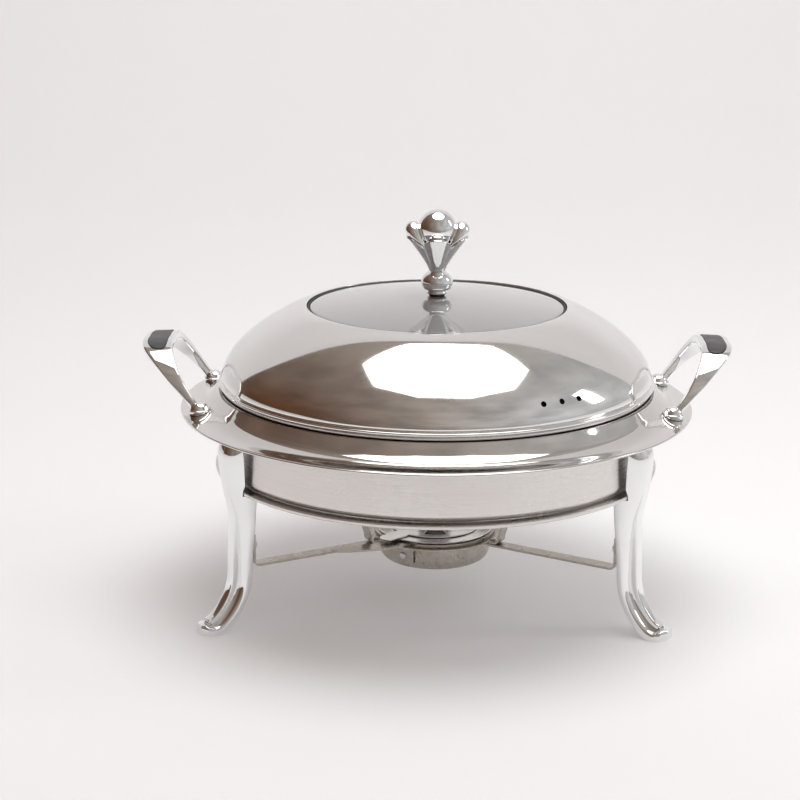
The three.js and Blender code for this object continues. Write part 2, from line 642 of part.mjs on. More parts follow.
// A bracket down the cup's side that turns out over the holder and ends in a flat pull tab.
function burnerHandle() {
  const thickness = 1.2;
  const low = CUP.rimLow + 0.1;
  const half = 6.5;
  const steps = 10;
  const centre = new THREE.QuadraticBezierCurve(
    new THREE.Vector2(-21.6, -33.2), new THREE.Vector2(-32, -46), new THREE.Vector2(-65, -50),
  );
  const near = [];
  const far = [];
  for (let i = 0; i <= steps; i += 1) {
    const point = centre.getPoint(i / steps);
    const tangent = centre.getTangent(i / steps);
    near.push([point.x - tangent.y * half, point.y + tangent.x * half]);
    far.push([point.x + tangent.y * half, point.y - tangent.x * half]);
  }
  const end = centre.getTangent(1).angle();
  const tip = [];
  for (let i = 1; i < steps; i += 1) {
    const angle = end + Math.PI / 2 - (Math.PI * i) / steps;
    tip.push([-65 + half * Math.cos(angle), -50 + half * Math.sin(angle)]);
  }
  const tab = extruded([...near, ...tip, ...far.reverse()], thickness).translate(0, 0, low);
  const bracketHeight = low + thickness - 32;
  const bracket = new THREE.BoxGeometry(thickness, 17, bracketHeight)
    .translate(CUP.wall + GAP + thickness / 2, 0, 32 + bracketHeight / 2).rotateZ(radians(TAB_ANGLE));
  const rivetHole = rod(1.9, -6, 6).rotateY(Math.PI / 2).translate(CUP.wall, 0, TAB_RIVET_HEIGHT);
  const keepOut = rod(CUP.wall + GAP, 20, 60, SMALL_ROUND * 1.5);
  return cut(joined(tab, bracket), keepOut, rivetHole.rotateZ(radians(TAB_ANGLE)));
}

// Four flame ports, each a sector between two radii.
function flamePorts(low, high, turn) {
  const ports = [];
  for (let i = 0; i < 4; i += 1) {
    const shape = new THREE.Shape();
    const middle = radians(turn + 90 * i);
    const spread = radians(18);
    shape.absarc(0, 0, 27, middle - spread, middle + spread, false);
    shape.absarc(0, 0, 13, middle + spread, middle - spread, true);
    shape.closePath();
    const depth = high - low;
    const port = new THREE.ExtrudeGeometry(shape, { depth, bevelEnabled: false, curveSegments: 3 });
    ports.push(welded(port).translate(0, 0, low));
  }
  return ports;
}

function burnerCover() {
  const low = CUP.rimHigh + GAP;
  const profile = [[2.4, low], [41, low], [41.4, low + 0.5], [41, low + 1], [2.4, low + 1]];
  const plate = turned(profile, SMALL_ROUND * 1.5);
  return cut(plate, ...flamePorts(low - 2, low + 3, LEVER_ANGLE - 45));
}

function burnerRegulator() {
  const low = CUP.rimHigh + GAP + 1 + GAP;
  const high = low + 1;
  const profile = [[2.4, low], [32, low], [32.4, low + 0.5], [32, high], [2.4, high]];
  const disc = turned(profile, SMALL_ROUND * 1.5);
  const outline = [[28, -6], [47, -6], ...arc(47, 0, 6, -90, 90, 8), [47, 6], [28, 6]];
  const lever = extruded(outline, high - low).translate(0, 0, low).rotateZ(radians(LEVER_ANGLE));
  return cut(joined(disc, lever), ...flamePorts(low - 2, high + 3, LEVER_ANGLE - 45));
}

function fuelPad() {
  const low = CUP.base + 1.4;
  return turned([[0, low], [30, low], [33.6, low + 1.8], [36.4, low + 6.6],
    [36.4, low + 7.6], [0, low + 7.6]],
    SMALL_ROUND);
}

function buildBurner() {
  add('burner_cup', burnerCup(), STAINED);
  add('burner_fuel_pad', fuelPad(), PAD);
  add('burner_handle', burnerHandle(), STAINED);
  const wallRivet = rivet(2.6, 1.5, CUP.wall - 1 - GAP, CUP.wall + GAP + 1.2 + GAP).rotateY(Math.PI / 2);
  wallRivet.translate(0, 0, TAB_RIVET_HEIGHT).rotateZ(radians(TAB_ANGLE));
  add('burner_handle_rivet', wallRivet, STAINED);
  add('burner_cover', burnerCover(), STEEL);
  add('burner_regulator', burnerRegulator(), STEEL);
  const low = CUP.rimHigh;
  add('regulator_rivet', rivet(4, 2, low, low + 2 + 3 * GAP), BRUSHED);
}

buildStand();
buildWaterPan();
add('food_pan', foodPan(), BRUSHED);
buildLid();
buildBurner();

export default model;
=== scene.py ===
# The looks of a round buffet chafer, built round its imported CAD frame.
# Metres in the row frame. Shapes are written in millimetres and scaled once, in make_mesh.
import json
import math

import bmesh
import bpy
from mathutils import Euler, Matrix, Vector


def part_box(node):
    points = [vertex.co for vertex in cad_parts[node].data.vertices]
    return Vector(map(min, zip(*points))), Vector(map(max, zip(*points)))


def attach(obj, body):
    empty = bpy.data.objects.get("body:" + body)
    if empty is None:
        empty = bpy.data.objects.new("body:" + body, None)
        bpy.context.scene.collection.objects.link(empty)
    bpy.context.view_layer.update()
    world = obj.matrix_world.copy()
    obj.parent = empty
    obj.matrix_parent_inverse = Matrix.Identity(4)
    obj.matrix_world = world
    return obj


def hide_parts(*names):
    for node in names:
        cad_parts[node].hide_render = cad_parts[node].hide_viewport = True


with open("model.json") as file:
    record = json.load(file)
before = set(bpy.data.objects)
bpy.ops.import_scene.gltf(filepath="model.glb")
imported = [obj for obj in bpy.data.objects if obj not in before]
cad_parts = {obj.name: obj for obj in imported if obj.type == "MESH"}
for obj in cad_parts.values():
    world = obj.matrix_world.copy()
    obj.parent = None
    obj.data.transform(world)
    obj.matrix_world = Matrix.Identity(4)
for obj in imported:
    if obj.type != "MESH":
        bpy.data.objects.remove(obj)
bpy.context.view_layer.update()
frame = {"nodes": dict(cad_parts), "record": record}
MM = 0.001
GAP = 0.3  # clearance between neighbouring pieces, in millimetres
ROUND = 192  # sides of the large turned pieces
SMALL_ROUND = 48  # sides of the small turned pieces
LEG_ANGLES = {"front_right": -30, "front_left": 210, "rear": 90}


def low(node):
    """Lowest corner of a CAD node, in millimetres."""
    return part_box(node)[0] / MM


def high(node):
    """Highest corner of a CAD node, in millimetres."""
    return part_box(node)[1] / MM


# --- Camera ----------------------------------------------------------------------------------

CAMERA_PLACE = (0.0, -1.3258, 0.4931)
CAMERA_DOWN = math.radians(14.83)
CAMERA_YAW = math.radians(-1.101)
CAMERA_ROLL = math.radians(0.262)
LENS = 86.95  # millimetres, on a 36 mm wide sensor


def add_camera():
    data = bpy.data.cameras.new("camera")
    data.sensor_width = 36
    data.lens = LENS
    camera = bpy.data.objects.new("camera", data)
    bpy.context.scene.collection.objects.link(camera)
    ahead = Vector((math.sin(CAMERA_YAW) * math.cos(CAMERA_DOWN),
                    math.cos(CAMERA_YAW) * math.cos(CAMERA_DOWN), -math.sin(CAMERA_DOWN)))
    level = Vector((math.cos(CAMERA_YAW), -math.sin(CAMERA_YAW), 0))
    upright = level.cross(ahead)
    right = level * math.cos(CAMERA_ROLL) + upright * math.sin(CAMERA_ROLL)
    up = upright * math.cos(CAMERA_ROLL) - level * math.sin(CAMERA_ROLL)
    turn = Matrix((right, up, -ahead)).transposed().to_4x4()
    camera.matrix_world = Matrix.Translation(CAMERA_PLACE) @ turn
    bpy.context.scene.camera = camera


# --- Materials -------------------------------------------------------------------------------

class Look:
    """A small wrapper for building one procedural material."""

    def __init__(self, name, color, roughness, metallic=0.0, **sockets):
        self.material = bpy.data.materials.new(name)
        self.material.use_nodes = True
        self.tree = self.material.node_tree
        self.shader = self.tree.nodes["Principled BSDF"]
        self.color = color
        self.set("Base Color", (*color, 1))
        self.set("Roughness", roughness)
        self.set("Metallic", metallic)
        for socket, value in sockets.items():
            self.set(socket.replace("_", " "), value)
        self.place = self.node("ShaderNodeTexCoord").outputs["Object"]

    def node(self, kind, **settings):
        made = self.tree.nodes.new(kind)
        for key, value in settings.items():
            setattr(made, key, value)
        return made

    def set(self, socket, value):
        self.shader.inputs[socket].default_value = value

    def link(self, a, b):
        self.tree.links.new(a, b)

    def noise(self, size, detail=4.0, stretch=(1, 1, 1), roughness=0.55, distortion=0.0):
        """Noise whose features are about size millimetres across."""
        mapping = self.node("ShaderNodeMapping")
        mapping.inputs["Scale"].default_value = [s / (size * MM) for s in stretch]
        self.link(self.place, mapping.inputs["Vector"])
        noise = self.node("ShaderNodeTexNoise")
        noise.inputs["Scale"].default_value = 1
        noise.inputs["Detail"].default_value = detail
        noise.inputs["Roughness"].default_value = roughness
        noise.inputs["Distortion"].default_value = distortion
        self.link(mapping.outputs["Vector"], noise.inputs["Vector"])
        return noise.outputs["Fac"]

    def ranged(self, value, start, end, from_low=0.3, from_high=0.7):
        spread = self.node("ShaderNodeMapRange")
        spread.inputs["From Min"].default_value = from_low
        spread.inputs["From Max"].default_value = from_high
        spread.inputs["To Min"].default_value = start
        spread.inputs["To Max"].default_value = end
        self.link(value, spread.inputs["Value"])
        return spread.outputs["Result"]

    def multiply(self, a, b):
        node = self.node("ShaderNodeMath", operation="MULTIPLY")
        self.link(a, node.inputs[0])
        self.link(b, node.inputs[1])
        return node.outputs[0]

    def maximum(self, a, b):
        node = self.node("ShaderNodeMath", operation="MAXIMUM")
        self.link(a, node.inputs[0])
        self.link(b, node.inputs[1])
        return node.outputs[0]

    def tint(self, amount, other):
        """Mixes the base colour towards another colour by a 0 to 1 value."""
        mix = self.node("ShaderNodeMix", data_type="RGBA")
        self.link(amount, mix.inputs["Factor"])
        before = self.shader.inputs["Base Color"].links
        if before:
            self.link(before[0].from_socket, mix.inputs["A"])
        else:
            mix.inputs["A"].default_value = (*self.color, 1)
        mix.inputs["B"].default_value = (*other, 1)
        self.link(mix.outputs["Result"], self.shader.inputs["Base Color"])

    def rough(self, value):
        self.link(value, self.shader.inputs["Roughness"])

    def bump(self, height, depth, strength=1.0):
        """Bump from a 0 to 1 height over depth millimetres, added to any bump that is there."""
        bump = self.node("ShaderNodeBump")
        bump.inputs["Strength"].default_value = strength
        bump.inputs["Distance"].default_value = depth * MM
        self.link(height, bump.inputs["Height"])
        before = self.shader.inputs["Normal"].links
        if before:
            self.link(before[0].from_socket, bump.inputs["Normal"])
        self.link(bump.outputs["Normal"], self.shader.inputs["Normal"])

    def edges(self, radius, low_angle=0.03, high_angle=0.16):
        """A 0 to 1 value that is 1 along convex edges, for wear."""
        bevel = self.node("ShaderNodeBevel", samples=6)
        bevel.inputs["Radius"].default_value = radius * MM
        normal = self.node("ShaderNodeNewGeometry").outputs["Normal"]
        dot = self.node("ShaderNodeVectorMath", operation="DOT_PRODUCT")
        self.link(bevel.outputs["Normal"], dot.inputs[0])
        self.link(normal, dot.inputs[1])
        return self.ranged(dot.outputs["Value"], 1, 0, 1 - high_angle, 1 - low_angle)


def mirror_steel():
    look = Look("mirror_steel", (0.83, 0.825, 0.815), 0.03, 1.0)
    smears = look.noise(38, 5, (1, 1, 1.7), 0.6, 0.6)
    fine = look.noise(1.4, 3, (1, 1, 8))
    look.rough(look.multiply(look.ranged(smears, 0.16, 0.34), look.ranged(fine, 0.2, 0.34)))
    look.tint(look.ranged(smears, 0, 0.3, 0.45, 0.8), (0.77, 0.75, 0.73))
    look.bump(look.noise(60, 2), 0.05, 0.5)
    return look.material


def brushed_steel():
    """Brushed sheet, with the pan's flange polished above and outside its wall."""
    look = Look("brushed_steel", (0.74, 0.72, 0.70), 0.3, 1.0)
    grain = look.noise(2.4, 6, (0.05, 0.05, 6), 0.7)
    patches = look.noise(55, 4, (1, 1, 0.6), 0.6)
    split = look.node("ShaderNodeSeparateXYZ")
    look.link(look.place, split.inputs["Vector"])
    flat = look.node("ShaderNodeVectorMath", operation="MULTIPLY")
    look.link(look.place, flat.inputs[0])
    flat.inputs[1].default_value = (1, 1, 0)
    reach = look.node("ShaderNodeVectorMath", operation="LENGTH")
    look.link(flat.outputs["Vector"], reach.inputs[0])
    polished = look.multiply(look.ranged(split.outputs["Z"], 0, 1, 0.1385, 0.140),
                             look.ranged(reach.outputs["Value"], 0, 1, 0.1525, 0.1535))
    brushed = look.ranged(polished, 1, 0, 0, 1)
    dull = look.multiply(look.ranged(grain, 0.5, 0.72), look.ranged(patches, 0.38, 0.56))
    look.rough(look.maximum(look.multiply(dull, brushed), look.ranged(patches, 0.04, 0.07)))
    look.tint(look.multiply(look.ranged(grain, 0.0, 0.55), brushed), (0.66, 0.62, 0.60))
    look.tint(look.ranged(patches, 0.0, 0.35, 0.5, 0.75), (0.79, 0.74, 0.72))
    look.bump(look.multiply(grain, brushed), 0.03, 0.5)
    return look.material


def cast_chrome():
    look = Look("cast_chrome", (0.86, 0.865, 0.87), 0.04, 1.0)
    peel = look.noise(5.5, 2, (1, 1, 1), 0.5)
    smears = look.noise(24, 5, (1, 1, 1.5), 0.6, 0.4)
    look.rough(look.ranged(smears, 0.025, 0.085))
    look.tint(look.ranged(smears, 0, 0.35, 0.5, 0.8), (0.78, 0.785, 0.80))
    look.bump(peel, 0.03, 0.45)
    return look.material


def stained_steel():
    look = Look("stained_steel", (0.50, 0.47, 0.43), 0.3, 1.0)
    grain = look.noise(1.6, 5, (1, 1, 0.12), 0.65)
    heat = look.noise(16, 5, (1, 1, 1.4), 0.6, 0.8)
    drops = look.noise(4.5, 4, (1, 1, 0.7), 0.6, 0.5)
    look.rough(look.multiply(look.ranged(grain, 0.6, 0.85), look.ranged(heat, 0.3, 0.5)))
    look.tint(look.ranged(heat, 0.0, 0.75, 0.45, 0.75), (0.40, 0.35, 0.28))
    look.tint(look.ranged(drops, 0.0, 0.8, 0.6, 0.72), (0.30, 0.25, 0.13))
    look.tint(look.edges(0.5), (0.66, 0.65, 0.63))
    look.bump(grain, 0.03, 0.5)
    return look.material


def fastener_steel():
    look = Look("fastener_steel", (0.70, 0.70, 0.70), 0.28, 1.0)
    dirt = look.noise(3, 4, (1, 1, 1), 0.6)
    look.rough(look.ranged(dirt, 0.2, 0.42))
    look.tint(look.ranged(dirt, 0.0, 0.7, 0.5, 0.75), (0.40, 0.36, 0.30))
    look.tint(look.edges(0.3), (0.84, 0.84, 0.84))
    look.bump(dirt, 0.04, 0.4)
    return look.material


def black_plastic():
    look = Look("black_plastic", (0.06, 0.06, 0.065), 0.42, 0.0)
    grain = look.noise(0.7, 3, (1, 1, 1), 0.6)
    wear = look.noise(9, 4, (1, 1, 1), 0.6)
    look.rough(look.multiply(look.ranged(grain, 0.85, 1.1), look.ranged(wear, 0.36, 0.52)))
    look.tint(look.ranged(wear, 0.0, 0.6, 0.45, 0.8), (0.085, 0.083, 0.082))
    look.tint(look.edges(0.6), (0.12, 0.12, 0.122))
    look.bump(grain, 0.05, 0.35)
    return look.material


def black_rubber():
    look = Look("black_rubber", (0.04, 0.04, 0.042), 0.75, 0.0)
    dust = look.noise(6, 5, (1, 1, 1), 0.65)
    grain = look.noise(0.5, 2)
    look.rough(look.ranged(dust, 0.6, 0.85))
    look.tint(look.ranged(dust, 0.0, 0.5, 0.5, 0.8), (0.10, 0.098, 0.094))
    look.bump(grain, 0.05, 0.5)
    return look.material


def clear_glass():
    look = Look("clear_glass", (0.40, 0.40, 0.405), 0.02, 0.0, Transmission_Weight=0.4, IOR=1.5,
                Coat_Weight=1.0, Coat_IOR=2.2)
    smears = look.noise(30, 5, (1, 1, 1), 0.6, 0.7)
    look.rough(look.ranged(smears, 0.012, 0.06))
    look.tint(look.ranged(smears, 0.0, 0.25, 0.45, 0.8), (0.45, 0.45, 0.455))
    look.bump(look.noise(70, 2), 0.04, 0.3)
    return look.material


def fuel_pad():
    look = Look("fuel_pad", (0.82, 0.79, 0.72), 0.95, 0.0, Sheen_Weight=0.3)
    fibres = look.noise(0.9, 6, (1, 1, 0.3), 0.75, 1.5)
    soot = look.noise(14, 4)
    look.rough(look.ranged(fibres, 0.85, 1.0))
    look.tint(look.ranged(fibres, 0.0, 0.5), (0.68, 0.64, 0.56))
    look.tint(look.ranged(soot, 0.0, 0.6, 0.55, 0.8), (0.42, 0.37, 0.30))
    look.bump(fibres, 0.6, 0.8)
    return look.material


LOOKS = {
    "mirror_steel": mirror_steel(), "brushed_steel": brushed_steel(), "cast_chrome": cast_chrome(),
    "stained_steel": stained_steel(), "fastener_steel": fastener_steel(),
    "black_plastic": black_plastic(), "black_rubber": black_rubber(),
    "clear_glass": clear_glass(), "fuel_pad": fuel_pad(),
}
SLOT_OF = {part["node"]: part["material_slot"] for part in frame["record"]["subparts"]}


# --- Mesh helpers ----------------------------------------------------------------------------

def make_mesh(name, points, faces, sharp=40.0):
    """A mesh object from points in millimetres, smooth except at edges sharper than an angle."""
    mesh = bpy.data.meshes.new(name)
    mesh.from_pydata([Vector(p) * MM for p in points], [], faces)
    return finish_mesh(name, mesh, sharp)


def finish_mesh(name, mesh, sharp=40.0):
    body = bmesh.new()
    body.from_mesh(mesh)
    bmesh.ops.remove_doubles(body, verts=body.verts, dist=1e-7)
    bmesh.ops.recalc_face_normals(body, faces=body.faces)
    body.to_mesh(mesh)
    body.free()
    mesh.polygons.foreach_set("use_smooth", [True] * len(mesh.polygons))
    mesh.set_sharp_from_angle(angle=math.radians(sharp))
    made = bpy.data.objects.new(name, mesh)
    bpy.context.scene.collection.objects.link(made)
    return made


def rounded(corners, closed=True, steps=4):
    """Rounds the corners of an outline given as (x, y, radius)."""
    count = len(corners)
    points = []
    for i, (x, y, radius) in enumerate(corners):
        here = Vector((x, y))
        ends = i in (0, count - 1) and not closed
        if radius <= 0 or ends:
            points.append(here)
            continue
        before = Vector(corners[i - 1][:2]) - here
        after = Vector(corners[(i + 1) % count][:2]) - here
        reach = min(radius, before.length * 0.48, after.length * 0.48)
        a = here + before.normalized() * reach
        b = here + after.normalized() * reach
        for k in range(steps + 1):
            t = k / steps
            points.append(a * (1 - t) ** 2 + here * 2 * t * (1 - t) + b * t ** 2)
    return [(p.x, p.y) for p in points]


def turned(name, profile, sides=ROUND, sharp=40.0, middle=(0, 0)):
    """Revolves (radius, height) pairs in millimetres about the upright axis. A profile whose two
    ends lie on the axis is closed by it; any other profile closes on itself."""
    on_axis = profile[0][0] == 0 and profile[-1][0] == 0
    points = []
    rings = []
    for radius, height in profile:
        if radius == 0:
            rings.append([len(points)] * sides)
            points.append((*middle, height))
            continue
        first = len(points)
        rings.append(list(range(first, first + sides)))
        for i in range(sides):
            angle = 2 * math.pi * i / sides
            points.append((middle[0] + radius * math.cos(angle),
                           middle[1] + radius * math.sin(angle), height))
    faces = []
    spans = len(rings) - 1 if on_axis else len(rings)
    for r in range(spans):
        here, there = rings[r], rings[(r + 1) % len(rings)]
        for i in range(sides):
            k = (i + 1) % sides
            corners = [here[i], here[k], there[k], there[i]]
            face = [c for n, c in enumerate(corners) if c != corners[n - 1]]
            if len(face) > 2:
                faces.append(face)
    return make_mesh(name, points, faces, sharp)


def lofted(name, rows, sharp=40.0):
    """Joins a row of equal outlines, each a list of points in millimetres, with closed ends."""
    count = len(rows[0])
    points = [p for row in rows for p in row]
    faces = [list(range(count))[::-1], list(range(len(points) - count, len(points)))]
    for r in range(len(rows) - 1):
        for i in range(count):
            k = (i + 1) % count
            faces.append([r * count + i, r * count + k, (r + 1) * count + k, (r + 1) * count + i])
    return make_mesh(name, points, faces, sharp)


def apply_modifiers(piece):
    graph = bpy.context.evaluated_depsgraph_get()
    mesh = bpy.data.meshes.new_from_object(piece.evaluated_get(graph))
    piece.modifiers.clear()
    piece.data = mesh
    return piece


def boolean(piece, tool, operation="DIFFERENCE"):
    cutter = piece.modifiers.new("boolean", "BOOLEAN")
    cutter.object = tool
    cutter.operation = operation
    cutter.solver = "EXACT"
    apply_modifiers(piece)
    bpy.data.objects.remove(tool)
    return piece


def refined(name, node, bevel=0.25, sharp=35.0):
    """A copy of a CAD node with its flat faces merged and its sharp edges rounded."""
    mesh = frame["nodes"][node].data.copy()
    mesh.materials.clear()
    body = bmesh.new()
    body.from_mesh(mesh)
    bmesh.ops.remove_doubles(body, verts=body.verts, dist=1e-6)
    bmesh.ops.dissolve_limit(body, angle_limit=math.radians(1), verts=body.verts, edges=body.edges)
    body.to_mesh(mesh)
    body.free()
    piece = finish_mesh(name, mesh, sharp)
    round_off = piece.modifiers.new("bevel", "BEVEL")
    round_off.width = bevel * MM
    round_off.segments = 3
    round_off.limit_method = "ANGLE"
    round_off.angle_limit = math.radians(32)
    round_off.harden_normals = True
    apply_modifiers(piece)
    return piece


def place(piece, body, *nodes, slot=None):
    """Gives a piece its body and its material, and hides the CAD nodes that it replaces."""
    name = slot or SLOT_OF[nodes[0]]
    piece.data.materials.clear()
    piece.data.materials.append(LOOKS[name])
    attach(piece, body)
    if nodes:
        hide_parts(*nodes)
    return piece


def turn_about_z(piece, degrees):
    piece.data.transform(Matrix.Rotation(math.radians(degrees), 4, "Z"))
    return piece


def curve_points(controls, count):
    """Evenly spaced points and directions on a smooth curve through the controls."""
    knots = [0.0]
    for a, b in zip(controls, controls[1:]):
        knots.append(knots[-1] + (Vector(b) - Vector(a)).length ** 0.5)
    size = len(controls[0])
    first = [2 * controls[0][i] - controls[1][i] for i in range(size)]
    last = [2 * controls[-1][i] - controls[-2][i] for i in range(size)]
    line = [Vector(p) for p in [first, *controls, last]]
    t = [knots[0] - (knots[1] - knots[0]), *knots, knots[-1] + (knots[-1] - knots[-2])]

    def at(u):
        i = 1
        while i < len(line) - 3 and u > t[i + 1]:
            i += 1
        p, k = line[i - 1:i + 3], t[i - 1:i + 3]
        a = [p[n] * ((k[n + 1] - u) / (k[n + 1] - k[n])) + p[n + 1] * ((u - k[n]) / (k[n + 1] - k[n]))
             for n in range(3)]
        b = [a[n] * ((k[n + 2] - u) / (k[n + 2] - k[n])) + a[n + 1] * ((u - k[n]) / (k[n + 2] - k[n]))
             for n in range(2)]
        return b[0] * ((k[2] - u) / (k[2] - k[1])) + b[1] * ((u - k[1]) / (k[2] - k[1]))

    dense = [at(knots[-1] * i / 2000) for i in range(2001)]
    lengths = [0.0]
    for a, b in zip(dense, dense[1:]):
        lengths.append(lengths[-1] + (b - a).length)
    points = []
    j = 0
    for i in range(count):
        want = lengths[-1] * i / (count - 1)
        while j < len(lengths) - 2 and lengths[j + 1] < want:
            j += 1
        share = (want - lengths[j]) / max(lengths[j + 1] - lengths[j], 1e-12)
        points.append(dense[j].lerp(dense[j + 1], min(max(share, 0), 1)))
    directions = []
    for i in range(count):
        a, b = points[max(i - 1, 0)], points[min(i + 1, count - 1)]
        directions.append((b - a).normalized())
    return points, directions


# --- Stand -----------------------------------------------------------------------------------

LEG_STATIONS = [
    # back (radius, height), body (thickness, half-width), tongue (height, half-width), squareness
    ((147.5, 146.5), (8, 9), (0.05, 3.4), 2.2), ((146.8, 140), (15.5, 13.5), (0.05, 4.4), 2.3),
    ((146.2, 124), (21, 14.5), (0.05, 4.6), 2.4), ((146, 104), (19, 13.8), (0.05, 4.6), 2.6),
    ((146.6, 80), (11.6, 12), (2.2, 4.6), 3), ((148.6, 55), (8.2, 11.2), (4.6, 4.4), 3.6),
    ((150.4, 31), (7.2, 11), (5.2, 4.3), 4), ((157, 15.5), (6.8, 11), (5.1, 4.3), 4.4),
    ((167, 3.6), (6.6, 11), (4.9, 4.3), 5), ((174, -0.8), (7.4, 10.9), (4.3, 4.2), 5),
    ((176.4, -1.6), (8.2, 10.6), (3.4, 3.4), 5), ((177.2, -1.8), (8.4, 10.4), (0.05, 3), 5),
    ((181.5, -2), (9, 8.8), (0.05, 2.8), 5), ((185.2, -2), (9, 4.6), (0.05, 1.6), 5),
]
ROWS_PER_STATION = 12
STRAP_INSIDE = 143.8  # distance of the straps' inner faces from the upright axis
LEG_SCREW_LENGTH = 9


def leg_outline(thickness, half, tongue, tongue_half, square):
    """Half a superellipse for the body of the leg, with the raised tongue on top of it."""
    steps = 10
    last = math.acos((tongue_half / half) ** (square / 2))
    side = []
    for i in range(steps + 1):
        turn = last * i / steps
        side.append((half * math.cos(turn) ** (2 / square), thickness * math.sin(turn) ** (2 / square),
                     0.8 if i == 0 else 0))
    tongue = max(tongue, 0.05)
    side.append((tongue_half, side[-1][1] + tongue, min(1.3, tongue * 0.45)))
    return rounded(side + [(-x, y, radius) for x, y, radius in reversed(side)], steps=4)


def spline_at(controls, t):
    """The point at a share t of a centripetal spline through evenly counted controls."""
    spans = len(controls) - 1
    i = min(int(t * spans), spans - 1)
    w = t * spans - i
    p1, p2 = Vector(controls[i]), Vector(controls[i + 1])
    p0 = Vector(controls[i - 1]) if i else p1 * 2 - p2
    p3 = Vector(controls[i + 2]) if i + 2 <= spans else p2 * 2 - p1
    d0, d1, d2 = [(b - a).length ** 0.5 for a, b in ((p0, p1), (p1, p2), (p2, p3))]
    d1 = max(d1, 0.01)
    d0 = d0 if d0 > 1e-4 else d1
    d2 = d2 if d2 > 1e-4 else d1
    m1 = ((p1 - p0) / d0 - (p2 - p0) / (d0 + d1) + (p2 - p1) / d1) * d1
    m2 = ((p2 - p1) / d1 - (p3 - p1) / (d1 + d2) + (p3 - p2) / d2) * d1
    return (p1 * (2 * w ** 3 - 3 * w ** 2 + 1) + m1 * (w ** 3 - 2 * w ** 2 + w)
            + p2 * (3 * w ** 2 - 2 * w ** 3) + m2 * (w ** 3 - w ** 2))


def leg_blank():
    count = ROWS_PER_STATION * (len(LEG_STATIONS) - 1)
    backs = [station[0] for station in LEG_STATIONS]
    bodies = [station[1] for station in LEG_STATIONS]
    tongues = [station[2] for station in LEG_STATIONS]
    squares = [(station[3], 0) for station in LEG_STATIONS]
    rows = []
    for i in range(count + 1):
        t = i / count
        back = spline_at(backs, t)
        along = (spline_at(backs, min(t + 1e-3, 1)) - spline_at(backs, max(t - 1e-3, 0))).normalized()
        out = Vector((-along.y, along.x))
        outline = leg_outline(*spline_at(bodies, t), *spline_at(tongues, t), spline_at(squares, t).x)
        rows.append([(back.x + out.x * y, x, back.y + out.y * y) for x, y in outline])
    return lofted("leg_blank", rows, 50)


def build_stand():
    ring_low, ring_high = low("stand_ring").z, high("stand_ring").z
    outer = high("stand_ring").x
    inner = outer - 9.4
    profile = rounded([(inner, ring_low, 0.5), (outer, ring_low, 2.4), (outer, ring_high, 0.9),
                       (inner, ring_high, 0.5)], steps=8)
    ring = turned("support_ring", profile, 256)
    place(ring, "stand", "stand_ring")

    blank = leg_blank()
    slot = turned("ring_slot", [(0, ring_low - GAP), (outer + GAP, ring_low - GAP),
                                (outer + GAP, ring_high + GAP), (155.4, ring_high + 4.3),
                                (157.9, 150), (0, 150)], 256)
    boolean(blank, slot)
    bpy.ops.mesh.primitive_cube_add(size=1, location=(0.17, 0, -0.01), scale=(0.12, 0.06, 0.02))
    boolean(blank, bpy.context.object)
    for where, degrees in LEG_ANGLES.items():
        leg = finish_mesh("cast_leg_" + where, blank.data.copy(), 38)
        place(turn_about_z(leg, degrees), "stand", "leg_" + where)
        strap = refined("burner_arm_" + where, "burner_strap_" + where, 0.35)
        place(strap, "stand", "burner_strap_" + where)
        spot = (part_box("strap_screw_" + where)[0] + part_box("strap_screw_" + where)[1]) / 2 / MM
        out = Vector((math.cos(math.radians(degrees)), math.sin(math.radians(degrees)), 0))
        inner_end = STRAP_INSIDE - GAP
        start = out * inner_end + Vector((0, 0, spot.z))
        screw = fastener("leg_screw_" + where, 3.6, 2.0, 2.2, LEG_SCREW_LENGTH, start, out)
        place(screw, "stand", "strap_screw_" + where)
        node = "holder_rivet_" + where
        spot = (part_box(node)[0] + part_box(node)[1]) / 2 / MM
        length = high(node).z - low(node).z - 2
        rivet = button_rivet("arm_rivet_" + where, 2.2, 1.5, length,
                             Vector((spot.x, spot.y, low(node).z + 1)), Vector((0, 0, 1)))
        place(rivet, "stand", node)
    bpy.data.objects.remove(blank)
    place(refined("burner_cradle", "burner_holder", 0.3), "stand", "burner_holder")


def aim(piece, start, direction):
    """Moves a piece drawn along +Z from the origin to a start point and direction."""
    turn = Vector((0, 0, 1)).rotation_difference(direction).to_matrix().to_4x4()
    piece.data.transform(Matrix.Translation(Vector(start) * MM) @ turn)
    return piece


def fastener(name, head, shank, depth, length, start, direction):
    """A domed screw head with a driver recess; its shank runs along the direction from the start."""
    profile = [(0, -depth + 0.9), (head * 0.26, -depth + 0.9), (head * 0.32, -depth - 0.0)]
    profile += [(head * math.cos(a) ** 0.8, -0.5 - (depth - 0.5) * math.sin(a))
                for a in [math.radians(70 - 10 * k) for k in range(8)]]
    profile += [(head, 0), (shank, 0), (shank, length - 0.6), (shank - 0.6, length), (0, length)]
    return aim(turned(name, profile, SMALL_ROUND, 35), start, direction)


def button_rivet(name, head, shank, length, start, direction):
    dome = [(head * math.sin(math.radians(15 * k)), 1 - math.cos(math.radians(15 * k))) for k in range(7)]
    lower = [(radius, -1 + height) for radius, height in dome]
    upper = [(radius, length + 1 - height) for radius, height in reversed(dome)]
    profile = lower + [(shank, 0), (shank, length)] + upper
    return aim(turned(name, profile, SMALL_ROUND, 35), start, direction)


# --- Water pan and handles -------------------------------------------------------------------

SHEET = 1.2
FLANGE_FACE = [(155, 154.9), (158.6, 150.6), (163, 146.2), (169, 143.6), (180, 141.7)]


def flange_points(steps=28):
    points, _ = curve_points(FLANGE_FACE, steps)
    return [(p.x, p.y) for p in points]


